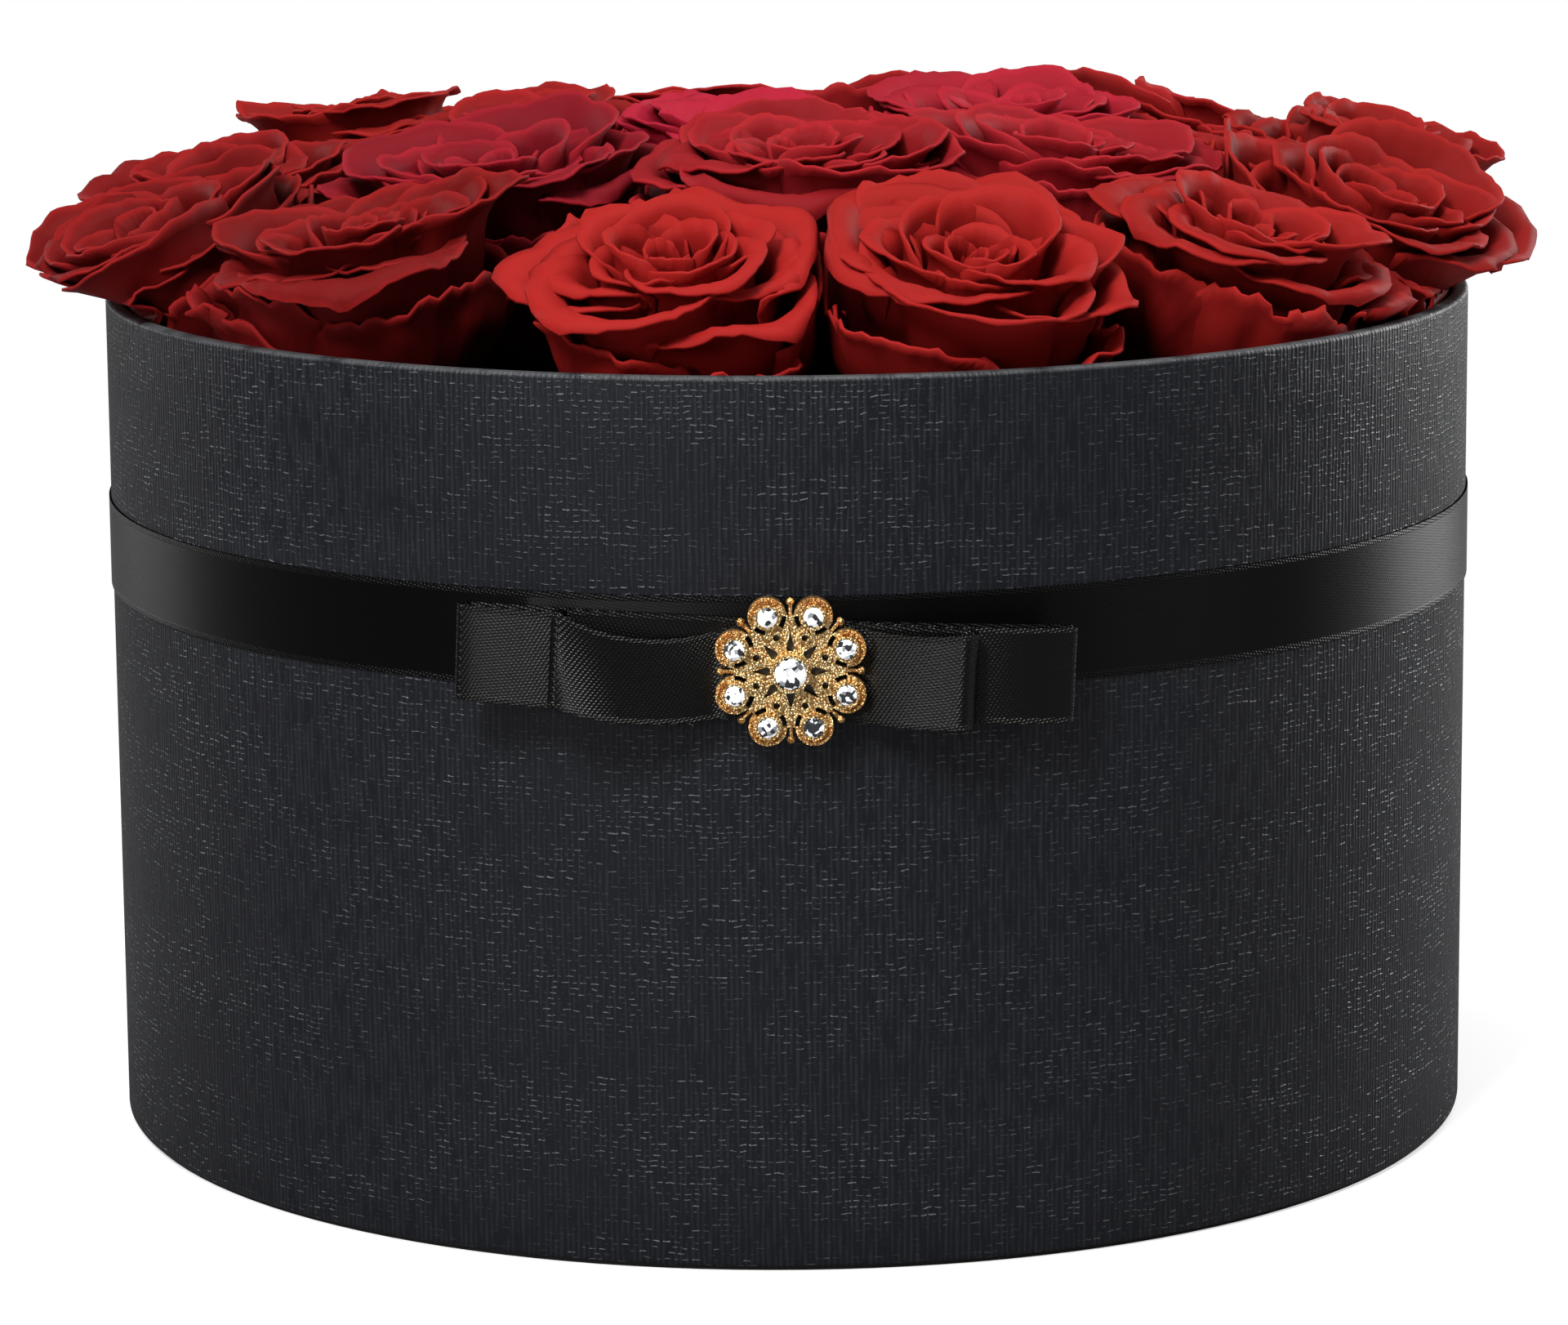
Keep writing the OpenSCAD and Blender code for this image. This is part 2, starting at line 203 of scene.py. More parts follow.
def mesh_piece(name, points, faces, mat=None, smooth=True):
    mesh = bpy.data.meshes.new(name)
    mesh.from_pydata([tuple(p) for p in points], [], [tuple(f) for f in faces])
    mesh.validate()
    mesh.polygons.foreach_set("use_smooth", [smooth] * len(mesh.polygons))
    piece = bpy.data.objects.new(name, mesh)
    bpy.context.scene.collection.objects.link(piece)
    if mat:
        mesh.materials.append(mat)
    return piece


def outward(piece):
    """Closes seams and turns every face outwards."""
    work = bmesh.new()
    work.from_mesh(piece.data)
    bmesh.ops.remove_doubles(work, verts=work.verts, dist=1e-6)
    bmesh.ops.recalc_face_normals(work, faces=work.faces)
    work.to_mesh(piece.data)
    work.free()


def revolve(name, profile, segments, mat):
    """Turns a closed (r, z) outline in mm round the Z axis."""
    count = len(profile)
    points, faces = [], []
    for k in range(segments):
        a = 2 * math.pi * k / segments
        for r, z in profile:
            points.append((r * math.sin(a) * MM, -r * math.cos(a) * MM, z * MM))
    for k in range(segments):
        for i in range(count):
            a, b = k * count + i, k * count + (i + 1) % count
            c, d = ((k + 1) % segments) * count + (i + 1) % count, ((k + 1) % segments) * count + i
            faces.append((a, b, c, d))
    piece = mesh_piece(name, points, faces, mat)
    outward(piece)
    piece.data.set_sharp_from_angle(angle=math.radians(30))
    return piece


def round_the_box(tree):
    """Arc length round the box from its front, and height, both in mm."""
    split = node(tree, "ShaderNodeSeparateXYZ")
    tree.links.new(object_space(tree), split.inputs[0])
    x, y, z = (Term(tree, s) for s in split.outputs)
    return x.op("ARCTAN2", y * -1.0) * BOX_R, z * (1 / MM)


def chance(tree, value):
    """A random number from 0 to 1 that is the same wherever value is the same."""
    made = node(tree, "ShaderNodeTexWhiteNoise", noise_dimensions="1D")
    feed(tree, made.inputs["W"], value)
    return Term(tree, made.outputs["Value"])


def linen_finish():
    """Embossed threads: wandering cross threads broken into dashes over fine upright ones."""
    row_pitch, rib_pitch, dash = 1.0, 1.0, 1.7
    emboss = 0.14 * MM
    black, painted_glint, painted_rim_highlight = (0.0046, 0.0051, 0.0078), (0.160, 0.166, 0.178), (0.045, 0.047, 0.050)
    mat, tree, shader, _ = finish_of("embossed_paper")
    shader.inputs["Specular IOR Level"].default_value = 0.22
    s, z = round_the_box(tree)

    # Cross threads: each row wanders, and breaks into dashes of random length and height
    drift = noise(tree, vector(tree, s * 0.05, z * 0.12), 1.0, 2.0) * 2.0
    wiggle = noise(tree, vector(tree, s * 0.45, z * 0.4), 1.0, 1.0) * 0.8
    rows = z / row_pitch + drift + wiggle
    row = rows.op("FLOOR")
    thread = ((rows - row - 0.5) * math.pi).op("COSINE") ** 18.0
    along = s / dash + chance(tree, row) * 7.0 + noise(tree, vector(tree, s * 0.2, row * 3.7)) * 1.6
    cell = along.op("FLOOR")
    luck = chance(tree, cell * 1.73 + row * 31.7)
    part = (along - cell - 0.5).op("ABSOLUTE")
    cross = thread * (1.0 - part.span(luck * 0.34, luck * 0.34 + 0.12)) * (luck * luck * 0.8 + 0.2)
    patch = noise(tree, vector(tree, s * 0.035, z * 0.07, 5.0), 1.0, 2.0).span(0.35, 0.62)
    cross = cross * (patch * 0.65 + 0.35)

    # Upright ribs, which come and go
    bend = noise(tree, vector(tree, s * 0.5, z * 0.05))
    rib = ((s / rib_pitch + bend * 1.2) * (2 * math.pi)).op("SINE") * 0.5 + 0.5
    rib = rib * noise(tree, vector(tree, s * 0.9, z * 0.16)).span(0.30, 0.62)
    bump(tree, shader, cross + rib * 0.85, emboss)
    feed(tree, shader.inputs["Roughness"], 0.46 - cross * 0.22)

    # Painted glint: the tops of the cross threads, and a little the rib crests, are painted paler; a painted
    # highlight runs along the rim in places
    paper = blend(tree, cross * cross * 0.7 + rib * 0.05, black, painted_glint)
    places = noise(tree, vector(tree, s * 0.15, 0.0), 1.0, 3.0).span(0.30, 0.55)
    # Painted highlight along the top of the rim, broken into patches
    rim_highlight_mask = z.span(BOX_H - 0.9, BOX_H - 0.2) * places
    feed(tree, shader.inputs["Base Color"], blend(tree, rim_highlight_mask, paper, painted_rim_highlight))
    return mat


def make_cover():
    inner = BOX_R - WALL_T
    r = RIM_R - PAPER_T
    profile = [(BOX_R - TURN_UNDER, COVER_FOOT)]
    profile += arc_points((BOX_R - RIM_R, COVER_FOOT + RIM_R), RIM_R, -90, 0, 4)
    profile += [(BOX_R, BOX_H * k / 12) for k in range(1, 12)]
    profile += arc_points((BOX_R - RIM_R, BOX_H - RIM_R), RIM_R, 0, 90, 6)
    profile += arc_points((inner + RIM_R, BOX_H - RIM_R), RIM_R, 90, 180, 6)
    profile += [(inner, BOX_H - TURN_IN), (inner + PAPER_T, BOX_H - TURN_IN)]
    profile += arc_points((inner + RIM_R, BOX_H - RIM_R), r, 180, 90, 4)
    profile += arc_points((BOX_R - RIM_R, BOX_H - RIM_R), r, 90, 0, 4)
    profile += [(BOX_R - PAPER_T, COVER_FOOT + PAPER_T), (BOX_R - TURN_UNDER, COVER_FOOT + PAPER_T)]
    cover = revolve("cover_paper_wrap", profile, AROUND, linen_finish())
    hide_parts("cover_paper")
    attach(cover, "box")


make_cover()

# ---------------------------------------------------------------------------
# Lining, floor paper and base sheet.
# Plain matt black papers: one round the inside, one on the floor and one glued
# under the foot, a little inside the cover's edge.


def plain_paper(name, colour, roughness):
    mat, tree, shader, _ = finish_of(name, Roughness=roughness)
    fibre = noise(tree, object_space(tree), 1400.0, 5.0)
    dark, light = tuple(c * 0.8 for c in colour), tuple(c * 1.25 for c in colour)
    feed(tree, shader.inputs["Base Color"], blend(tree, fibre, dark, light))
    bump(tree, shader, fibre, 0.0001, 0.25)
    return mat


lining = plain_paper("lining", (0.012, 0.012, 0.014), 0.8)
for name in ("lining_paper", "floor_paper"):
    wear(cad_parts[name], lining)
wear(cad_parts["base_sheet"], plain_paper("base_paper", (0.006, 0.006, 0.007), 0.7))

# ---------------------------------------------------------------------------
# Ribbon band.
# Black satin ribbon, 16 mm wide, drawn tight once round the box. Its outer end
# laps over the inner one beside the bow and is glued.

RIBBON_T = 0.35
GLUE_T = 0.05
LAP = 18.0
LAP_START = -62.0   # where the lap begins, along the wall from the middle of the front
LAP_CLEAR = 3.0     # the upper layer starts to step over the lower one this far before its end
LAP_STEP = 2.4
low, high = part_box("ribbon_band")
BAND_LOW, BAND_HIGH = low.z / MM, high.z / MM
RIBBON_W = BAND_HIGH - BAND_LOW
BAND_R = BOX_R + GLUE_T + RIBBON_T / 2
PICOT = 0.7
PICOT_R = 0.17


def cloth(name, grid, lengths, widths, thick, ring, mat):
    """A closed sheet of cloth on a grid of points in mm, with its own lengths as UV."""
    n, m = grid.shape[:2]
    if ring:
        along = np.roll(grid, -1, 0) - np.roll(grid, 1, 0)
    else:
        along = np.gradient(grid, axis=0)
    normal = np.cross(along, np.gradient(grid, axis=1))
    normal /= np.linalg.norm(normal, axis=2, keepdims=True)
    sides = np.stack([grid + normal * thick / 2, grid - normal * thick / 2]) * MM
    points = sides.reshape(-1, 3)
    faces, corners = [], []

    def quad(*spots):
        faces.append([side * n * m + (i % n) * m + j for side, i, j in spots])
        corners.extend((lengths[i], widths[j]) for side, i, j in spots)

    for i in range(n if ring else n - 1):
        for j in range(m - 1):
            quad((0, i, j), (0, i + 1, j), (0, i + 1, j + 1), (0, i, j + 1))
            quad((1, i, j), (1, i, j + 1), (1, i + 1, j + 1), (1, i + 1, j))
        quad((0, i, 0), (1, i, 0), (1, i + 1, 0), (0, i + 1, 0))
        quad((0, i, m - 1), (0, i + 1, m - 1), (1, i + 1, m - 1), (1, i, m - 1))
    if not ring:
        for j in range(m - 1):
            quad((0, 0, j), (0, 0, j + 1), (1, 0, j + 1), (1, 0, j))
            quad((0, n - 1, j), (1, n - 1, j), (1, n - 1, j + 1), (0, n - 1, j + 1))
    piece = mesh_piece(name, points, faces, mat)
    layer = piece.data.uv_layers.new(name="weave")
    layer.data.foreach_set("uv", np.array(corners, float).ravel())
    piece.data.set_sharp_from_angle(angle=math.radians(50))
    return piece


def satin_finish(name, colour, light, roughness, twill, gloss):
    """Satin: a smooth face with fine slanting rows of thread, dotted along both edges; the thread dots and a
    band along each edge are painted lighter as painted sheen, and the picot beads are painted pale as painted
    highlights.
    """
    thread, dot = 0.5, 0.7
    relief = 0.06 * MM
    mat, tree, shader, link = finish_of(name, Roughness=roughness, Anisotropic=0.9, Anisotropic_Rotation=0.25)
    shader.inputs["Specular IOR Level"].default_value = gloss
    grain = node(tree, "ShaderNodeTangent", direction_type="UV_MAP", uv_map="weave")
    link(grain.outputs[0], shader.inputs["Tangent"])
    split = node(tree, "ShaderNodeSeparateXYZ")
    link(node(tree, "ShaderNodeUVMap", uv_map="weave").outputs[0], split.inputs[0])
    s, w = Term(tree, split.outputs[0]), Term(tree, split.outputs[1])
    rows = (w * (2 * math.pi / thread) + s * 2.2).op("SINE") * 0.5 + 0.5
    dots = ((s * (2 * math.pi / dot) + w * 5.0).op("SINE") * 0.5 + 0.5) * rows
    edge = w.op("ABSOLUTE").span(RIBBON_W / 2 - 1.0, RIBBON_W / 2 - 0.7)
    slubs = noise(tree, vector(tree, s * 0.15, w * 4.0), 1.0, 2.0)
    bump(tree, shader, dots * twill + slubs * 0.3 + edge * (dots * 1.5 + 0.4), relief)
    # Painted sheen: the thread dots and a band along each edge are painted lighter than the satin
    weave = blend(tree, dots * twill * 0.8 + edge * 0.35, colour, light)
    # Painted highlight: where the picot mark is set, the beads are painted pale
    picot = Term(tree, node(tree, "ShaderNodeAttribute", attribute_name="picot").outputs["Fac"])
    feed(tree, shader.inputs["Base Color"], blend(tree, picot, weave, (0.22, 0.22, 0.17)))
    return mat


def beads_tree():
    """Small beads in a row along a curve, for the thread loops of a selvedge."""
    tree = bpy.data.node_groups.new("beads", "GeometryNodeTree")
    face = tree.interface
    face.new_socket("Curve", in_out="INPUT", socket_type="NodeSocketGeometry")
    face.new_socket("Pitch", in_out="INPUT", socket_type="NodeSocketFloat")
    face.new_socket("Bead radius", in_out="INPUT", socket_type="NodeSocketFloat")
    face.new_socket("Detail", in_out="INPUT", socket_type="NodeSocketInt")
    face.new_socket("Material", in_out="INPUT", socket_type="NodeSocketMaterial")
    face.new_socket("Beads", in_out="OUTPUT", socket_type="NodeSocketGeometry")
    inlet, outlet = node(tree, "NodeGroupInput"), node(tree, "NodeGroupOutput")
    spots = node(tree, "GeometryNodeResampleCurve", mode="LENGTH")
    bead = node(tree, "GeometryNodeMeshIcoSphere")
    on = node(tree, "GeometryNodeInstanceOnPoints")
    real = node(tree, "GeometryNodeRealizeInstances")
    smooth = node(tree, "GeometryNodeSetShadeSmooth")
    paint = node(tree, "GeometryNodeSetMaterial")
    link = tree.links.new
    link(inlet.outputs["Curve"], spots.inputs["Curve"])
    link(inlet.outputs["Pitch"], spots.inputs["Length"])
    link(inlet.outputs["Bead radius"], bead.inputs["Radius"])
    link(inlet.outputs["Detail"], bead.inputs["Subdivisions"])
    link(spots.outputs["Curve"], on.inputs["Points"])
    link(bead.outputs["Mesh"], on.inputs["Instance"])
    link(on.outputs["Instances"], real.inputs["Geometry"])
    link(real.outputs["Geometry"], smooth.inputs["Geometry"])
    link(smooth.outputs["Geometry"], paint.inputs["Geometry"])
    link(inlet.outputs["Material"], paint.inputs["Material"])
    link(paint.outputs["Geometry"], outlet.inputs["Beads"])
    return tree


def grown(name, source, tree, **values):
    """Runs a geometry tree on a source object and keeps the result as a plain mesh."""
    mod = source.modifiers.new("grow", "NODES")
    mod.node_group = tree
    for item in tree.interface.items_tree:
        key = item.name.replace(" ", "_")
        if item.in_out == "INPUT" and key in values:
            mod[item.identifier] = values[key]
    graph = bpy.context.evaluated_depsgraph_get()
    mesh = bpy.data.meshes.new_from_object(source.evaluated_get(graph), depsgraph=graph)
    source.modifiers.clear()
    bpy.data.objects.remove(source)
    piece = bpy.data.objects.new(name, mesh)
    bpy.context.scene.collection.objects.link(piece)
    return piece


def curve_through(name, runs, closed):
    """A poly curve through each list of points, in mm."""
    curve = bpy.data.curves.new(name, "CURVE")
    curve.dimensions = "3D"
    for run in runs:
        line = curve.splines.new("POLY")
        line.points.add(len(run) - 1)
        for spot, p in zip(line.points, run):
            spot.co = (p[0] * MM, p[1] * MM, p[2] * MM, 1)
        line.use_cyclic_u = closed
    made = bpy.data.objects.new(name, curve)
    bpy.context.scene.collection.objects.link(made)
    return made


beads = beads_tree()


def picots(name, grid, ring, mat):
    """The row of tiny thread loops along both selvedges."""
    source = curve_through(name + "_line", [grid[:, 0], grid[:, -1]], ring)
    row = grown(name, source, beads, Pitch=PICOT * MM, Bead_radius=PICOT_R * MM, Detail=1, Material=mat)
    # The beads are marked so that the satin finish paints them pale, as painted highlights
    mark = row.data.attributes.new("picot", "FLOAT", "POINT")
    mark.data.foreach_set("value", np.ones(len(row.data.vertices)))
    return row


def make_band():
    mat = satin_finish("satin_band", (0.0006, 0.0006, 0.0007), (0.002, 0.002, 0.0022), 0.36, 0.25, 0.14)
    count, rows = 520, 9
    total = 2 * math.pi * BAND_R + LAP
    s = LAP_START + total * np.arange(count) / (count - 1)
    over = np.clip((LAP_START + LAP + LAP_CLEAR - s) / LAP_STEP, 0, 1)
    rho = BAND_R + (RIBBON_T + GLUE_T) * over * over * (3 - 2 * over)
    widths = np.linspace(-RIBBON_W / 2, RIBBON_W / 2, rows)
    turn = s / BAND_R
    grid = np.empty((count, rows, 3))
    grid[..., 0] = (rho * np.sin(turn))[:, None]
    grid[..., 1] = (-rho * np.cos(turn))[:, None]
    grid[..., 2] = (BAND_LOW + BAND_HIGH) / 2 + widths[None, :]
    band = cloth("satin_band", grid, s - LAP_START, widths, RIBBON_T, False, mat)
    edge = picots("satin_band_picots", grid, False, mat)
    for piece in (band, edge):
        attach(piece, "box")
    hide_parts("ribbon_band")


make_band()

# ---------------------------------------------------------------------------
# Bow.
# Two flat loops of the same ribbon, the short one on the long one, pressed
# together at the middle and glued to the band. Both droop to the right.

GAP = 0.35          # between the two loops
PINCH = 0.2         # between the two layers of a loop, under the brooch
BOW_Z = 104.4
BROOCH_D = 26.4
HOLD = BROOCH_D * 0.46      # the brooch presses the layers together as far out as this
STIFF = 0.55        # how much of the wall's curve a loop doesn't follow
FOLD_AT = 0.58      # where a loop begins to fall back to its fold
BOW_IN = BAND_R + RIBBON_T / 2 + GLUE_T + RIBBON_T + GAP + RIBBON_T / 2

# Reach to the left and right, how far the loop opens and how far it falls back
# at either end, droop in degrees, and how far its outer layer sags at its lower
# edge, at its upper edge and outwards.
LONG_LOOP = dict(left=54.5, right=46.0, opens=4.0, falls=(0.4, 0.5), droop=2.6, sags=(0.3, 0.3, 0.3))
SHORT_LOOP = dict(left=36.5, right=26.5, opens=5.0, falls=(0.42, 0.0), droop=3.3, sags=(1.8, 4.0, 2.2))


def reach_of(s, loop):
    return np.where(s < 0, loop["left"], loop["right"])


def puff(s, loop):
    """How far the outer layer of a loop stands off its inner one, falling back before the fold."""
    t = np.clip((np.abs(s) - HOLD) / (reach_of(s, loop) - HOLD), 0, 1)
    back = np.where(s < 0, *loop["falls"]) * np.clip((t - FOLD_AT) / (1 - FOLD_AT), 0, 1) ** 2
    full = 0.30 * np.sin(t * math.pi / 2) + 0.70 * t - back
    return RIBBON_T + PINCH + (loop["opens"] - PINCH) * full


def loop_path(loop, under):
    """Middle line of a loop seen from above: (s, distance from the box's axis, layer), inner layer first."""
    s = np.linspace(-loop["left"], loop["right"], 90)
    inside = BOW_IN + under(s)
    outside = inside + puff(s, loop)
    path = [(a, b, 0.0) for a, b in zip(s, inside)]
    for end, k, sign in ((loop["right"], -1, 1), (-loop["left"], 0, -1)):
        half = (outside[k] - inside[k]) / 2
        for degrees in np.linspace(-90, 90, 13)[1:-1] * sign:
            a = math.radians(degrees)
            share = (degrees * sign + 90) / 180
            across = inside[k] + half + half * math.sin(a) * sign
            path.append((end + sign * half * math.cos(a), across, share if sign > 0 else 1 - share))
        if sign > 0:
            path += [(a, b, 1.0) for a, b in zip(s[::-1], outside[::-1])]
    return np.array(path)


def make_loop(name, replaced, loop, under, mat):
    rows = 13
    widths = np.linspace(-RIBBON_W / 2, RIBBON_W / 2, rows)
    s, rho, layer = loop_path(loop, under).T
    steps = np.hypot(np.diff(s, append=s[0]), np.diff(rho, append=rho[0]))
    lengths = np.concatenate([[0], np.cumsum(steps)])
    t = np.clip((np.abs(s) - HOLD * 0.6) / (reach_of(s, loop) - HOLD * 0.6), 0, 1)
    sag = np.sin(math.pi * t) ** 0.8 * layer * np.where(s < 0, 1.0, 0.3)
    w = widths[None, :] / RIBBON_W + 0.5
    low_edge, high_edge, out_by = loop["sags"]
    z = widths[None, :] - sag[:, None] * (low_edge * (1 - w) + high_edge * w)
    out = rho[:, None] + sag[:, None] * out_by * (0.5 - w)
    turn = (s / BOX_R)[:, None]
    stand = STIFF * BOX_R * (1 - np.cos(turn))
    x, y = out * np.sin(turn), -out * np.cos(turn) - stand
    c, n = math.cos(math.radians(loop["droop"])), math.sin(math.radians(loop["droop"]))
    grid = np.stack([x * c + z * n, y, BOW_Z - x * n + z * c], axis=2)
    ribbon = cloth(name, grid, lengths, widths, RIBBON_T, True, mat)
    edge = picots(name + "_picots", grid, True, mat)
    for piece in (ribbon, edge):
        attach(piece, "box")
    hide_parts(replaced)


def make_bow():
    mat = satin_finish("satin_bow", (0.0004, 0.0004, 0.0004), (0.0026, 0.0026, 0.0020), 0.28, 1.0, 0.3)
    make_loop("bow_long_loop", "bow_back_loop", LONG_LOOP, lambda s: 0 * s, mat)
    over = lambda s: puff(s, LONG_LOOP) + RIBBON_T + GAP
    make_loop("bow_short_loop", "bow_front_loop", SHORT_LOOP, over, mat)


make_bow()

# ---------------------------------------------------------------------------
# Brooch.
# Gilded cast filigree in one piece: eight granulated lobes pierced with bean
# and round windows, balls on pins between them, and a stone in a claw cup on
# each lobe and in the middle. It is stuck to the bow with a dab of hot glue.

LOBES = 8
LOBE_RING = 10.0
SIDE_STONE = 3.4
SIDE_SEAT = 2.6     # girdle of a stone above the back of the brooch
CENTRE_STONE = 5.4
CENTRE_SEAT = 3.65
SIDE_CLAW_R = 0.22
CENTRE_CLAW_R = 0.26
BROOCH_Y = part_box("brooch_setting")[1].y


def on_bow(x, y, out):
    """A point of the brooch, in mm from its middle and out from its back."""
    return (x * MM, BROOCH_Y - out * MM, (BOW_Z + y) * MM)


def around(radius, degrees):
    """A point at that distance from the middle of the brooch, anticlockwise from its right."""
    return (radius * math.cos(math.radians(degrees)), radius * math.sin(math.radians(degrees)))


def lobe_angles():
    return [360 / LOBES * (k + 0.5) for k in range(LOBES)]


def balls(name, spots, mat):
    """Balls at (x, y, out, radius)."""
    work = bmesh.new()
    for x, y, out, radius in spots:
        place = Matrix.Translation(on_bow(x, y, out))
        bmesh.ops.create_uvsphere(work, u_segments=16, v_segments=10, radius=radius * MM, matrix=place)
    mesh = bpy.data.meshes.new(name)
    work.to_mesh(mesh)
    work.free()
    mesh.materials.append(mat)
    mesh.polygons.foreach_set("use_smooth", [True] * len(mesh.polygons))
    piece = bpy.data.objects.new(name, mesh)
    bpy.context.scene.collection.objects.link(piece)
    return piece


def cut_stone(x, y, out, size, turn, points, faces):
    """Round brilliant: table, star and crown facets, a thin girdle and a pointed back."""

    def ring(radius, height, count, start):
        base = len(points)
        for k in range(count):
            a = math.radians(360 * k / count + start + turn)
            points.append(on_bow(x + radius * math.cos(a), y + radius * math.sin(a), out + height))
        return base

    r = size / 2
    table = ring(r * 0.56, r * 0.36, 8, 0)
    star = ring(r * 0.80, r * 0.20, 8, 22.5)
    girdle = ring(r, 0.04 * r, 16, 0)
    under = ring(r, -0.02 * r, 16, 0)
    points.append(on_bow(x, y, out - r * 0.84))
    tip = len(points) - 1
    faces.append([table + k for k in range(8)])
    for k in range(8):
        after = (k + 1) % 8
        faces.append([table + k, star + k, table + after])
        faces.append([table + k, star + (k - 1) % 8, girdle + 2 * k, star + k])
        faces.append([star + k, girdle + 2 * k, girdle + 2 * k + 1])
        faces.append([star + k, girdle + 2 * k + 1, girdle + (2 * k + 2) % 16])
    for k in range(16):
        after = (k + 1) % 16
        faces.append([girdle + k, under + k, under + after, girdle + after])
        faces.append([under + k, tip, under + after])


def gold_finish():
    """Cast granulation, bright in the middle and warmer towards the rim, with painted shade between the
    grains.
    """
    mat, tree, shader, link = finish_of("gold_setting", Metallic=1.0)
    split = node(tree, "ShaderNodeSeparateXYZ")
    link(object_space(tree), split.inputs[0])
    x, z = Term(tree, split.outputs[0]), Term(tree, split.outputs[2]) - BOW_Z * MM
    out = (x * x + z * z).op("SQRT") * (1.0 / MM)
    grains = node(tree, "ShaderNodeTexVoronoi", feature="SMOOTH_F1", Scale=2600.0, Smoothness=0.2)
    link(object_space(tree), grains.inputs["Vector"])
    grain = 1.0 - Term(tree, grains.outputs["Distance"])
    patch = noise(tree, object_space(tree), 500.0, 2.0)
    warm = (out.span(8.8, 12.6) * 0.75 + patch.span(0.42, 0.68) * 0.5).span(0.1, 1.1)
    tone = blend(tree, warm, (0.96, 0.76, 0.40), (0.95, 0.55, 0.22))
    # Painted shade: the hollows between the grains are painted dark brown
    feed(tree, shader.inputs["Base Color"], blend(tree, grain.span(0.28, 0.66), (0.42, 0.20, 0.055), tone))
    feed(tree, shader.inputs["Roughness"], 0.46 - grain * 0.2)
    bump(tree, shader, grain, 0.00022, 0.8)
    return mat


def rhinestone_finish():
    """Foiled glass with painted reflections: random cells are painted white as painted glints and the others
    near black.
    """
    mat, tree, shader, link = finish_of("rhinestone", Roughness=0.04, IOR=1.6)
    cuts = node(tree, "ShaderNodeTexVoronoi", feature="F1", Scale=1300.0)
    link(object_space(tree), cuts.inputs["Vector"])
    flash = node(tree, "ShaderNodeSeparateColor")
    link(cuts.outputs["Color"], flash.inputs[0])
    # Painted reflections: random cells of each stone are painted white, the rest near black
    lit = Term(tree, flash.outputs[0]).span(0.25, 0.55)
    feed(tree, shader.inputs["Base Color"], blend(tree, lit, (0.02, 0.022, 0.025), (0.95, 0.97, 1.0)))
    return mat


def make_brooch():
    gold = gold_finish()
    wear(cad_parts["brooch_setting"], gold)
    claws = []
    for a in lobe_angles():
        x, y = around(LOBE_RING, a)
        for k in range(4):
            px, py = around(SIDE_STONE / 2 - 0.02, a + 45 + 90 * k)
            claws.append((x + px, y + py, SIDE_SEAT + 0.02, SIDE_CLAW_R))
    for k in range(6):
        px, py = around(CENTRE_STONE / 2 - 0.05, 60 * k + 12)
        claws.append((px, py, CENTRE_SEAT + 0.15, CENTRE_CLAW_R))
    knobs = balls("brooch_claws", claws, gold)
    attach(knobs, "box")

    glass = rhinestone_finish()
    lobes = [around(LOBE_RING, a) for a in lobe_angles()]
    for name, replaced, spots, size, seat in (
        ("centre_stone", "brooch_centre_stone", [(0, 0)], CENTRE_STONE, CENTRE_SEAT),
        ("side_stones", "brooch_side_stones", lobes, SIDE_STONE, SIDE_SEAT),
    ):
        points, faces = [], []
        for k, (x, y) in enumerate(spots):
            cut_stone(x, y, seat, size, 17 * k, points, faces)
        stones = mesh_piece(name, points, faces, glass, False)
        outward(stones)
        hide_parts(replaced)
        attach(stones, "box")


make_brooch()
glue = finish_of("hot_glue", Roughness=0.3, Base_Color=(0.03, 0.028, 0.022, 1))[0]
wear(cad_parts["brooch_glue_pad"], glue)

# ---------------------------------------------------------------------------
# Foam and stems.
# A disc of dry floral foam in the box, drilled for nineteen short cut stems.

foam, tree, shader, _ = finish_of("dry_foam", Roughness=0.95)
crumbs = noise(tree, object_space(tree), 1500.0, 5.0)
feed(tree, shader.inputs["Base Color"], blend(tree, crumbs, (0.020, 0.030, 0.012), (0.050, 0.065, 0.032)))
bump(tree, shader, crumbs, 0.0006)
wear(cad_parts["foam_block"], foam)

stalk, tree, shader, _ = finish_of("stem", Roughness=0.6)
streaks = noise(tree, vector(tree, noise(tree, object_space(tree), 90.0), 0.0, 0.0), 30.0)
feed(tree, shader.inputs["Base Color"], blend(tree, streaks, (0.05, 0.08, 0.02), (0.14, 0.15, 0.05)))
wear(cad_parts["rose_stems"], stalk)

# ---------------------------------------------------------------------------
# Roses.
# Nineteen preserved blooms, each grown from one rule: petals on a golden-angle
# spiral, tight in the bud, wider and rolled back at the lip further out, with
# crinkled guard petals round the outside. Pressed together in the box, each
# flattens against its neighbours and the wall.

BLOOM_H = 55.0
EYE_RISE = {"outer": 19.0, "inner": 29.0, "centre": 29.0}   # of a bloom's top above the rim
RINGS = {"outer": 84.4, "inner": 47.26, "centre": 0.0}
PETAL_T = 0.55
FOOT_Z = 12.0           # of the petals, above the foot of the bloom
GOLDEN_ANGLE = 2.39996
ROOM_R = 121.3          # just inside the lining
SPILL_R = 141.5         # as far as a petal leans out over the rim


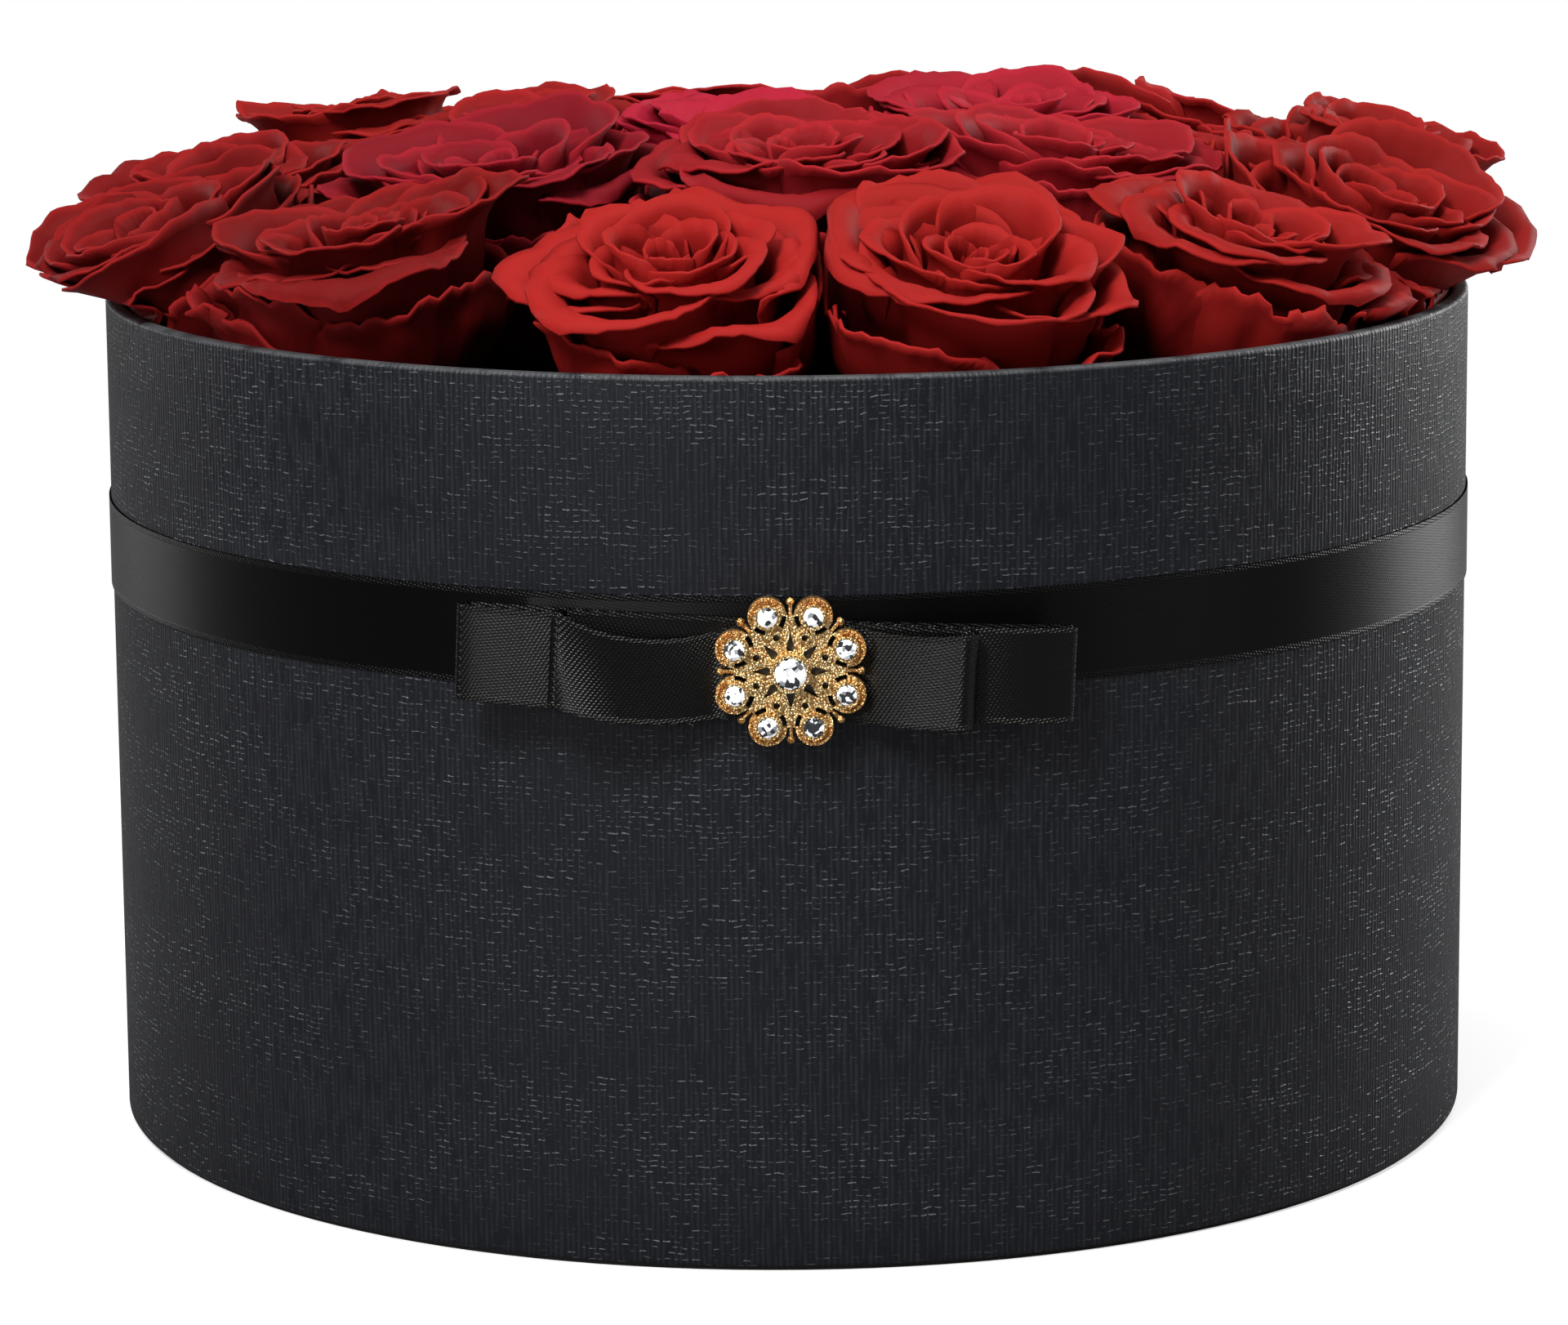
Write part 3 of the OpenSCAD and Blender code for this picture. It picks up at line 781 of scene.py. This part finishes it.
def random_of(tree, seed, petal, salt):
    """A steady random number from -1 to 1 for each petal."""
    made = node(tree, "FunctionNodeRandomValue", data_type="FLOAT")
    made.inputs[2].default_value, made.inputs[3].default_value = -1.0, 1.0
    feed(tree, made.inputs["ID"], petal)
    feed(tree, made.inputs["Seed"], seed + salt)
    return Term(tree, made.outputs[1])


def stored(tree, name):
    made = node(tree, "GeometryNodeInputNamedAttribute", data_type="FLOAT")
    made.inputs["Name"].default_value = name
    return Term(tree, made.outputs["Attribute"])


def store(tree, geometry, name, value):
    made = node(tree, "GeometryNodeStoreNamedAttribute", data_type="FLOAT", domain="POINT")
    made.inputs["Name"].default_value = name
    tree.links.new(geometry, made.inputs["Geometry"])
    feed(tree, made.inputs["Value"], value)
    return made.outputs["Geometry"]


def rose_tree():
    tree = bpy.data.node_groups.new("rose", "GeometryNodeTree")
    face = tree.interface
    inputs = (
        ("Seed mesh", "Geometry"), ("Petals", "Int"), ("Radius", "Float"), ("Height", "Float"),
        ("Openness", "Float"), ("Across", "Int"), ("Along", "Int"), ("Seed", "Int"), ("Material", "Material"))
    for name, kind in inputs:
        face.new_socket(name, in_out="INPUT", socket_type="NodeSocket" + kind)
    face.new_socket("Bloom", in_out="OUTPUT", socket_type="NodeSocketGeometry")
    inlet, outlet = node(tree, "NodeGroupInput"), node(tree, "NodeGroupOutput")
    link = tree.links.new
    given = {s.name: Term(tree, s) for s in inlet.outputs if s.name}

    # One flat grid for each petal, marked with its number and with its own across and up
    spots = node(tree, "GeometryNodePoints")
    link(inlet.outputs["Petals"], spots.inputs["Count"])
    index = Term(tree, node(tree, "GeometryNodeInputIndex").outputs[0])
    numbered = store(tree, spots.outputs[0], "petal", index + 0.0)
    sheet = node(tree, "GeometryNodeMeshGrid", Size_X=2.0, Size_Y=1.0)
    link(inlet.outputs["Across"], sheet.inputs["Vertices X"])
    link(inlet.outputs["Along"], sheet.inputs["Vertices Y"])
    on = node(tree, "GeometryNodeInstanceOnPoints")
    real = node(tree, "GeometryNodeRealizeInstances")
    link(numbered, on.inputs["Points"])
    link(sheet.outputs["Mesh"], on.inputs["Instance"])
    link(on.outputs[0], real.inputs[0])
    split = node(tree, "ShaderNodeSeparateXYZ")
    link(node(tree, "GeometryNodeInputPosition").outputs[0], split.inputs[0])
    marked = store(tree, real.outputs[0], "across", Term(tree, split.outputs[0]))
    marked = store(tree, marked, "up", Term(tree, split.outputs[1]) + 0.5)
    petal, u, v = stored(tree, "petal"), stored(tree, "across"), stored(tree, "up")
    seed, radius, height = given["Seed"], given["Radius"], given["Height"]
    dice = [random_of(tree, seed, petal, 17 * k) for k in range(6)]
    t = (petal + 0.5) / given["Petals"]
    side = u.op("ABSOLUTE")
    salt = seed * 3.7 + petal * 5.3

    # t runs from the bud to the outside, where the last petals are guard petals
    guard = t.span(0.76, 0.82)
    inner = 1.0 - guard
    bud = (1.0 - t / 0.2).op("MAXIMUM", 0.0)

    # The petal's outline: narrow at the foot, rounded corners, a point in the middle
    corner = side ** 2.2 * (0.14 + 0.06 * t + guard * 0.08)
    point = (1.0 - side * 2.4).op("MAXIMUM", 0.0) ** 1.5 * (0.12 * t) * inner
    ve = v * (1.0 - corner + point + dice[5] * 0.04)
    half = (2.0 - 1.10 * t ** 0.7) * (1.0 + dice[0] * 0.15)
    turn = petal * GOLDEN_ANGLE + dice[1] * 0.28 + u * half * (0.38 + 0.62 * v ** 0.7)

    # The cup: from the foot out to the lip, then rolled back over an arc
    lip_z = height - 3.5 * bud - guard * (9.5 + dice[0] * 3.5) + dice[2] * (0.8 + 2.2 * t)
    foot_r = 2.4 + 5.0 * t
    tall = lip_z - FOOT_Z
    rolled = (1.5 + 14.0 * t) * (1.0 - 0.5 * guard)
    bend = (0.4 + 1.9 * t + dice[4] * 0.75 * (0.25 + t)) * given["Openness"] * (1.0 - 0.6 * guard)
    arc = rolled / bend
    more_aside = 1.0 + 0.9 * side * side
    reach = arc * (1.0 - (bend * more_aside).op("COSINE"))
    share = 0.05 + 0.95 * (t / 0.76).op("MINIMUM", 1.0) ** 0.95 - 0.03 * guard
    lip_r = radius * share * (1.0 + dice[3] * 0.10) - reach
    start = 1.0 - rolled / tall
    rise = ve.op("MINIMUM", start)
    over = (ve - start).op("MAXIMUM", 0.0) * tall
    angle = over / arc * more_aside
    belly = (rise * (math.pi / 2)).op("SINE") ** 0.85
    r = foot_r + (lip_r - foot_r) * belly + 2.6 * (rise * math.pi).op("SINE") * (1.0 - t)
    r = r + arc * (1.0 - angle.op("COSINE")) + u * (0.4 + 1.1 * t) - side ** 1.3 * (2.6 * t) * v * inner
    z = FOOT_Z + tall * rise + arc * angle.op("SINE")

    # Unevenness: slow waves in the blade, small crinkles at the edge
    slow = noise(tree, vector(tree, u * 0.9, v * 1.3, salt), 1.0, 1.0) - 0.5
    slow_z = noise(tree, vector(tree, u * 1.1, v * 0.9, salt + 40.0), 1.0, 1.0) - 0.5
    quick = noise(tree, vector(tree, u * 3.0, v * 2.0, salt + 80.0), 1.0, 1.0) - 0.5
    frill = noise(tree, vector(tree, u * 5.0, 0.0, salt + 120.0), 1.0, 1.0) - 0.5
    rough = 1.0 + guard * 2.2
    r = r + slow * (1.5 + 7.0 * t) * v + quick * rough * (0.8 + 2.0 * t) * v ** 2.5
    z = z + slow_z * (1.0 + 7.0 * t) * v * v + frill * (1.0 + guard * 0.9) * (1.4 + 4.2 * t) * v ** 6.0
    bent = node(tree, "GeometryNodeSetPosition")
    link(marked, bent.inputs["Geometry"])
    r, z = r * MM, z * MM
    link(vector(tree, r * turn.op("COSINE"), r * turn.op("SINE"), z), bent.inputs["Position"])
    paint = node(tree, "GeometryNodeSetMaterial")
    link(bent.outputs[0], paint.inputs["Geometry"])
    link(inlet.outputs["Material"], paint.inputs["Material"])
    link(paint.outputs[0], outlet.inputs["Bloom"])
    return tree


def petal_finish():
    """Velvety petals with painted shade towards the foot and a painted highlight along the lip edge, finely
    veined, some pinker than others.
    """
    mat, tree, shader, _ = finish_of("rose_petal", Roughness=0.6)
    shader.inputs["Specular IOR Level"].default_value = 0.04

    def read(name):
        return Term(tree, node(tree, "ShaderNodeAttribute", attribute_name=name).outputs["Fac"])

    u, up, petal, pink, tone_and_shade = read("across"), read("up"), read("petal"), read("pink"), read("tone_and_shade")
    fan = u / (0.35 + 0.65 * up)
    veins = (fan * 46.0 + noise(tree, vector(tree, u * 3.0, up * 3.0, petal)) * 5.0).op("SINE") * 0.5 + 0.5
    cloud = noise(tree, vector(tree, u * 1.6, up * 2.2, petal * 7.0), 1.0, 3.0)
    # Painted shade darkens each petal towards its foot, a painted highlight lightens the very edge of the
    # lip, and the bloom's tone value, partly painted light and shade, scales the rest
    level = (up.span(0.15, 0.95) * 0.75 + cloud * 0.35 - 0.1) * (tone_and_shade + 1.0) + up.span(0.965, 1.0) * 0.3
    red = blend(tree, level, (0.014, 0.0005, 0.0004), (0.245, 0.0105, 0.0090))
    rose = blend(tree, level, (0.022, 0.0005, 0.0013), (0.28, 0.0105, 0.025))
    feed(tree, shader.inputs["Base Color"], blend(tree, pink, red, rose))
    grain = noise(tree, object_space(tree), 2500.0, 2.0)
    bump(tree, shader, veins * up * 0.5 + grain * 0.5, 0.00012, 0.6)
    return mat


def soft_limit(value, limit, ease):
    """value where it is small, drawing near to limit and never past it."""
    start = limit - ease
    beyond = np.maximum(value - start, 0)
    return np.where(value > start, start + ease * (1 - np.exp(-beyond / ease)), value)


def placed(points, base, eye, tilt):
    """Stands a bloom on its base, bends it over to its eye, and raises its right and back sides."""
    azimuth, base_r, base_z, lean = base
    a, b = math.radians(lean), math.radians(azimuth)
    turn = np.array(Matrix.Rotation(b, 3, "Z") @ Matrix.Rotation(a, 3, "X"))
    foot = np.array([base_r * math.sin(b), -base_r * math.cos(b), base_z])
    nudge = np.array(eye) - (foot + turn @ np.array([0, 0, BLOOM_H]))
    share = np.clip(points[:, 2] / BLOOM_H, 0, 1.15) ** 1.4
    stood = points @ turn.T + foot + share[:, None] * nudge
    away = stood[:, :2] - np.array(eye)[:2]
    stood[:, 2] += share * (away @ np.array(tilt))
    return stood


def press(points, me, others):
    """Flattens a bloom against the ones beside it and against the wall."""
    near, past_middle, soft = 75, 0.8, 6.0
    p = points.copy()
    for other in others:
        gap = other[:2] - me[:2]
        far = np.linalg.norm(gap)
        if far > near:
            continue
        gap = gap / far
        reach = (p[:, :2] - me[:2]) @ gap
        kept = soft_limit(reach, far / 2 + past_middle, soft)
        p[:, :2] += np.outer(kept - reach, gap)

    # Above the rim there is more room, most of it at the left and right ends
    rho = np.hypot(p[:, 0], p[:, 1])
    ends = np.clip((np.abs(p[:, 0]) - 100.0) / 20.0, 0, 1)
    over = np.maximum(p[:, 2] - BOX_H - 0.3 - 2.0 * ends, 0)
    room = np.minimum(ROOM_R + over * (1.3 + 4.0 * ends), SPILL_R)
    ease = np.where(p[:, 2] < BOX_H + 4.0, 4.0, 12.0)
    kept = np.minimum(soft_limit(rho, room, ease), room)
    p[:, :2] *= (kept / np.maximum(rho, 1e-6))[:, None]
    return p


# Each bloom: node; base (azimuth, outward from its ring, up, lean); eye; how steeply
# it rises to the right and to the back; radius, petals, openness, pinkness, and tone,
# which also paints each bloom lighter or darker as the light falls on it.
BLOOMS = [
    ("outer_rose_1", (-80, 1, -2, 18), (-121, -24, 168), (0.04, 0.12), 39, 24, 1.0, 0.1, -0.5),
    ("outer_rose_2", (-51, 5, 1, 12), (-75, -62, 173), (0, 0), 32, 24, 1.0, 0.1, -0.5),
    ("outer_rose_3", (-12, -8, 1, 20), (-20, -93, 172), (0, 0), 30, 24, 1.05, 0.0, 0.4),
    ("outer_rose_4", (21, -6, 1, 20), (32, -92, 172), (0, 0), 32, 25, 1.05, 0.0, 0.1),
    ("outer_rose_5", (54, 0, 0, 18), (83, -61, 171.5), (0, 0), 32, 24, 1.05, 0.0, -0.06),
    ("outer_rose_6", (80, 1, -2, 18), (108, -27, 173), (0.0, 0.2), 35, 25, 1.0, 0.0, -0.25),
    ("outer_rose_7", (109, 1, 0, 18), (112, 24, 179.5), (0.1, 0.2), 33, 24, 1.1, 0.0, -0.25),
    ("outer_rose_8", (137, 1, 2, 18), (86, 58, 176.5), (-0.08, 0.1), 33, 25, 1.0, 0.1, -0.1),
    ("outer_rose_9", (166, 2, 4, 18), (29, 98, 175), (0, 0), 34, 25, 1.0, 0.2, 0.0),
    ("outer_rose_10", (194, 2, 4, 18), (-29, 99, 175), (0, 0), 34, 25, 1.0, 0.1, 0.0),
    ("outer_rose_11", (223, 1, 3, 18), (-84, 66, 181), (-0.1, 0.15), 34, 26, 1.0, 0.0, -0.25),
    ("outer_rose_12", (252, 1, -1, 18), (-111, 20, 174), (-0.15, 0.2), 35, 25, 1.1, 0.1, -0.4),
    ("inner_rose_1", (-65, 1, -2, 8), (-53, -27, 180.5), (0, 0.05), 34, 22, 0.95, 0.6, -0.42),
    ("inner_rose_2", (0, -9, 0, 8), (2, -44, 184.5), (0, 0), 33, 25, 1.0, 0.3, -0.2),
    ("inner_rose_3", (60, -1, 0, 8), (50, -26, 182), (0, 0), 33, 25, 0.95, 0.4, -0.17),
    ("inner_rose_4", (122, 1, 3, 8), (42, 27, 184), (0.05, 0.2), 33, 25, 1.0, 0.7, 0.0),
    ("inner_rose_5", (180, 5, 0, 8), (5, 64, 181), (0, 0), 34, 25, 1.0, 0.2, 0.0),
    ("inner_rose_6", (238, 3, -1, 8), (-49, 33, 181.5), (0, 0.12), 33, 25, 1.0, 0.1, -0.25),
    ("centre_rose", (180, 8, 2, 0), (-8, 14, 182), (0, 0.05), 33, 25, 1.05, 1.0, 0.2),
]


def bloom_mesh(name, tree, mat, sizes, seed):
    """The petals of one bloom, upright on the origin."""
    radius, petals, openness = sizes
    across, along = ((37, 16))
    source = mesh_piece("seed", [(0, 0, 0)], [])
    return grown(name, source, tree, Petals=petals, Radius=radius, Height=BLOOM_H, Openness=openness,
                 Across=across, Along=along, Seed=seed, Material=mat)


def thicken(bloom):
    """Gives every petal its thickness, on both sides of its blade."""
    thick = bloom.modifiers.new("thickness", "SOLIDIFY")
    thick.thickness, thick.offset = PETAL_T * MM, 0.0
    graph = bpy.context.evaluated_depsgraph_get()
    solid = bpy.data.meshes.new_from_object(bloom.evaluated_get(graph), depsgraph=graph)
    bloom.modifiers.clear()
    bloom.data = solid
    solid.polygons.foreach_set("use_smooth", [True] * len(solid.polygons))


def make_roses():
    tree, mat = rose_tree(), petal_finish()
    eyes = [np.array(row[2], float) for row in BLOOMS]
    for k, (name, base, eye, tilt, *sizes, pink, tone_and_shade) in enumerate(BLOOMS):
        azimuth, outward_by, up_by, lean = base
        ring = name.split("_")[0]
        low = BOX_H + EYE_RISE[ring] + up_by - BLOOM_H * math.cos(math.radians(lean))
        bloom = bloom_mesh("petals_of_" + name, tree, mat, sizes, 101 + 13 * k)
        mesh = bloom.data
        points = np.empty(len(mesh.vertices) * 3)
        mesh.vertices.foreach_get("co", points)
        stood = placed(points.reshape(-1, 3) / MM, (azimuth, RINGS[ring] + outward_by, low, lean), eye, tilt)
        others = [other for j, other in enumerate(eyes) if j != k]
        mesh.vertices.foreach_set("co", (press(stood, eyes[k], others) * MM).ravel())
        # The second value is the bloom's tone, partly painted light and shade for where it stands
        for label, value in (("pink", pink), ("tone_and_shade", tone_and_shade)):
            layer = mesh.attributes.new(label, "FLOAT", "POINT")
            layer.data.foreach_set("value", np.full(len(mesh.vertices), value))
        thicken(bloom)
        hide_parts(name)
        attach(bloom, "flower_insert")


make_roses()

# ---------------------------------------------------------------------------
# Studio.
# A white floor and surround, dim in reflections so that the blacks stay deep.
# One soft light stands high at the left of the front and a broad one hangs on
# top; weaker ones fill the front and brush the sides from behind.

FLOOR = 4.0


def studio_floor():
    """White to the camera further out; near the box it takes the shadow."""
    mat, tree, shader, link = finish_of("floor", Roughness=0.9)
    shader.inputs["Specular IOR Level"].default_value = 0.0
    ray = node(tree, "ShaderNodeLightPath")
    seen, shine = Term(tree, ray.outputs["Is Camera Ray"]), Term(tree, ray.outputs["Is Glossy Ray"])
    feed(tree, shader.inputs["Base Color"], seen * 0.5 + 0.5 - shine * 0.35)
    glow = node(tree, "ShaderNodeEmission", Strength=1.0)
    mix = node(tree, "ShaderNodeMixShader")
    split = node(tree, "ShaderNodeSeparateXYZ")
    link(object_space(tree), split.inputs[0])
    x, y = Term(tree, split.outputs[0]), Term(tree, split.outputs[1])
    away = (x * x + y * y).op("SQRT").span(0.16, 0.45)
    feed(tree, mix.inputs[0], seen * (away * 0.45 + 0.55))
    link(shader.outputs[0], mix.inputs[1])
    link(glow.outputs[0], mix.inputs[2])
    link(mix.outputs[0], tree.nodes["Material Output"].inputs[0])
    corners = [(x * FLOOR, y * FLOOR, 0) for x, y in ((-1, -1), (1, -1), (1, 1), (-1, 1))]
    return mesh_piece("floor", corners, [(0, 1, 2, 3)], mat, False)


def area_light(name, place, target, size, power):
    data = bpy.data.lights.new(name, "AREA")
    data.shape = "RECTANGLE"
    data.size, data.size_y = size
    data.energy = power
    lamp = bpy.data.objects.new(name, data)
    bpy.context.scene.collection.objects.link(lamp)
    lamp.location = place
    lamp.rotation_euler = (Vector(target) - Vector(place)).to_track_quat("-Z", "Y").to_euler()
    lamp.visible_camera = False


def surround(lit, mirrored):
    """A world that is white to the camera, and as bright as given to surfaces and in reflections."""
    world = bpy.data.worlds.new("surround")
    bpy.context.scene.world = world
    world.use_nodes = True
    tree = world.node_tree
    glow = tree.nodes["Background"]
    ray = node(tree, "ShaderNodeLightPath")
    seen, shine = Term(tree, ray.outputs["Is Camera Ray"]), Term(tree, ray.outputs["Is Glossy Ray"])
    feed(tree, glow.inputs["Strength"], seen * (1.0 - lit) + shine * (mirrored - lit) + lit)
    glow.inputs["Color"].default_value = (1, 1, 1, 1)


def camera_at(distance, elevation, roll, look, lens):
    """A camera in front of the box: distance and look in mm, elevation and roll in degrees."""
    up, aside = math.radians(elevation), math.radians(roll)
    target = Vector(look) * MM
    place = target + distance * MM * Vector((0, -math.cos(up), math.sin(up)))
    forward = (target - place).normalized()
    right = Vector((1, 0, 0))
    top = right.cross(forward)
    turned_right = right * math.cos(aside) + top * math.sin(aside)
    turned_top = top * math.cos(aside) - right * math.sin(aside)
    data = bpy.data.cameras.new("camera")
    data.lens = lens
    data.sensor_width = 36.0
    data.clip_start, data.clip_end = 0.01, 20.0
    camera = bpy.data.objects.new("camera", data)
    bpy.context.scene.collection.objects.link(camera)
    axes = Matrix((turned_right, turned_top, -forward)).transposed()
    camera.matrix_world = Matrix.Translation(place) @ axes.to_4x4()
    bpy.context.scene.camera = camera


studio_floor()
surround(lit=0.09, mirrored=0.12)
area_light("key", (-0.50, -1.14, 1.25), (0, 0, 0.12), (0.40, 0.5), 30)
area_light("top", (0.1, -0.1, 1.5), (0, 0, 0.1), (1.2, 1.0), 18)
area_light("left", (-0.80, -1.25, 0.45), (0, 0, 0.1), (0.22, 0.35), 4)
area_light("right", (1.50, -0.65, 1.0), (0, 0, 0.1), (1.0, 1.0), 7)
area_light("left_side", (-1.20, 0.95, 0.6), (0, 0, 0.1), (0.8, 1.0), 8)
area_light("right_side", (1.20, 0.95, 0.6), (0, 0, 0.1), (0.8, 1.0), 24)
camera_at(distance=1117.96, elevation=10.951, roll=-0.493, look=(-1.088, 0, 80.65), lens=137.37)
bpy.context.scene.view_settings.view_transform = "Standard"
